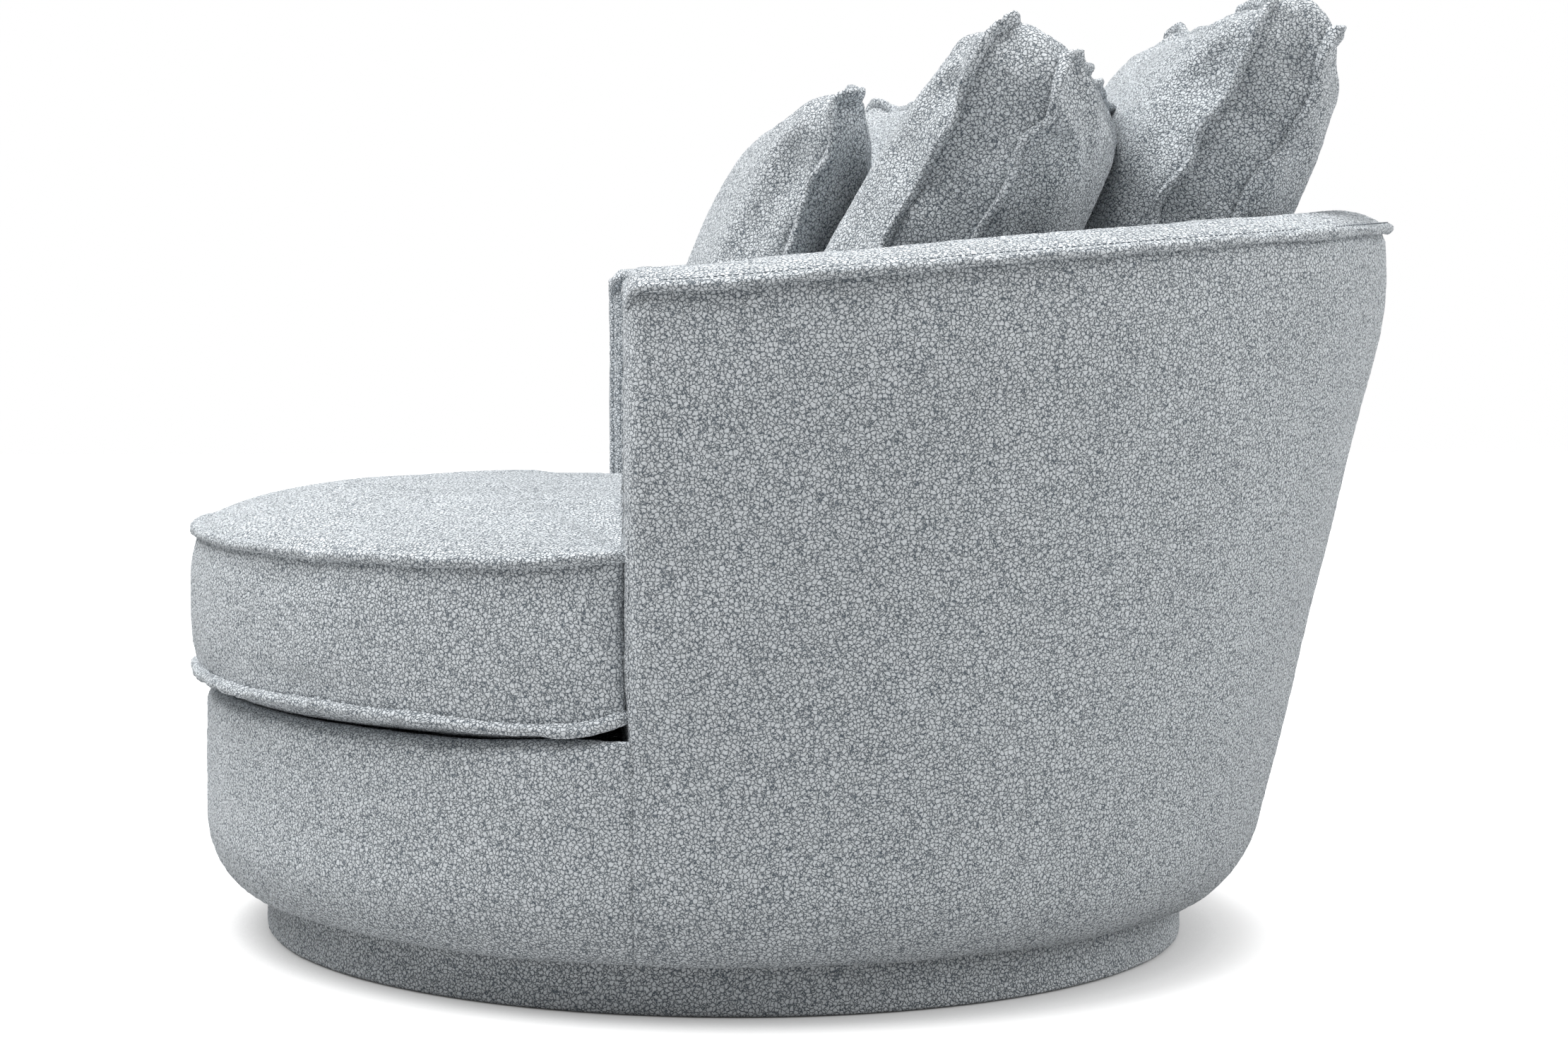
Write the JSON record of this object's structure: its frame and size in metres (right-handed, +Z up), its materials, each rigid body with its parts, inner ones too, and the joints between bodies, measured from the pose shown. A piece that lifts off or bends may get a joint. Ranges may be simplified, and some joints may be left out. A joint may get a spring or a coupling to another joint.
{
  "type": "swivel cuddle armchair",
  "caption": "Round upholstered swivel armchair for one and a half sitters, with a loose seat cushion, box-edged back cushions and a scatter cushion.",
  "frame": {"origin": "on the floor at the swivel axis", "axes": "+Z up, -Y the way the sitter faces, +X to the sitter's left"},
  "size_m": [1.2606, 1.3059, 0.9887],
  "materials": {
    "boucle": "looped pile, pale blue-grey",
    "foam": "upholstery foam and fibre filling",
    "timber": "sawn timber and birch plywood",
    "steel": "zinc plated",
    "webbing": "woven elastic",
    "plastic": "satin"
  },
  "bodies": {
    "plinth": {"floor_glide_centre": "plastic", "floor_glide_front_left": "plastic", "floor_glide_front_right": "plastic", "floor_glide_rear_left": "plastic", "floor_glide_rear_right": "plastic", "plinth_bottom_board": "timber", "plinth_ring": "timber", "plinth_rail_across": "timber", "plinth_rail_along": "timber", "plinth_top_board": "timber", "plinth_cover": "boucle", "swivel_lower_plate": "steel", "swivel_ball_cage": "steel", "swivel_pivot_bolt": "steel", "swivel_pivot_nut": "steel"},
    "chair": {"swivel_upper_plate": "steel", "base_board": "timber", "drum_hoop": "timber", "drum_cover": "boucle", "drum_padding_front": "foam", "drum_padding_rear": "foam", "seat_rail_left": "timber", "seat_rail_right": "timber", "seat_rail_rear": "timber", "seat_rail_front": "timber", "webbing_along_1": "webbing", "webbing_along_2": "webbing", "webbing_along_3": "webbing", "webbing_across_1": "webbing", "webbing_across_2": "webbing", "deck_pad": "foam", "deck_cover": "boucle", "tub_base_plate": "timber", "rim_rail": "timber", "arm_post_left": "timber", "arm_post_right": "timber", "back_post_left": "timber", "back_post_centre": "timber", "back_post_right": "timber", "tub_padding": "foam", "outside_cover": "boucle", "inside_cover": "boucle", "rim_cover": "boucle", "arm_front_panel_left": "boucle", "arm_front_panel_right": "boucle"},
    "seat_cushion": {"seat_cushion_cover": "boucle", "seat_cushion_pad": "foam", "seat_cushion_zip": "plastic"},
    "back_cushion_centre": {"back_cushion_centre_cover": "boucle", "back_cushion_centre_pad": "foam", "back_cushion_centre_zip": "plastic"},
    "back_cushion_left": {"back_cushion_left_cover": "boucle", "back_cushion_left_pad": "foam", "back_cushion_left_zip": "plastic"},
    "back_cushion_right": {"back_cushion_right_cover": "boucle", "back_cushion_right_pad": "foam", "back_cushion_right_zip": "plastic"},
    "scatter_cushion": {"scatter_cushion_cover": "boucle", "scatter_cushion_pad": "foam", "scatter_cushion_zip": "plastic"}
  },
  "joints": [
    {"name": "swivel", "type": "hinge", "parent": "plinth", "child": "chair", "pos_m": [0, 0, 0], "axis": [0, 0, 1], "continuous": true},
    {"name": "seat_cushion_lift_out", "type": "slide", "parent": "chair", "child": "seat_cushion", "axis": [0, 0, 1], "range_m": [0, 0.6]},
    {"name": "back_cushion_centre_lift_out", "type": "slide", "parent": "seat_cushion", "child": "back_cushion_centre", "axis": [0, 0.4772, 0.8788], "range_m": [0, 0.6]},
    {"name": "back_cushion_left_lift_out", "type": "slide", "parent": "seat_cushion", "child": "back_cushion_left", "axis": [0, 0.4772, 0.8788], "range_m": [0, 0.6]},
    {"name": "back_cushion_right_lift_out", "type": "slide", "parent": "seat_cushion", "child": "back_cushion_right", "axis": [0, 0.4772, 0.8788], "range_m": [0, 0.6]},
    {"name": "scatter_cushion_lift_out", "type": "slide", "parent": "seat_cushion", "child": "scatter_cushion", "axis": [0, 0, 1], "range_m": [0, 0.6]}
  ]
}
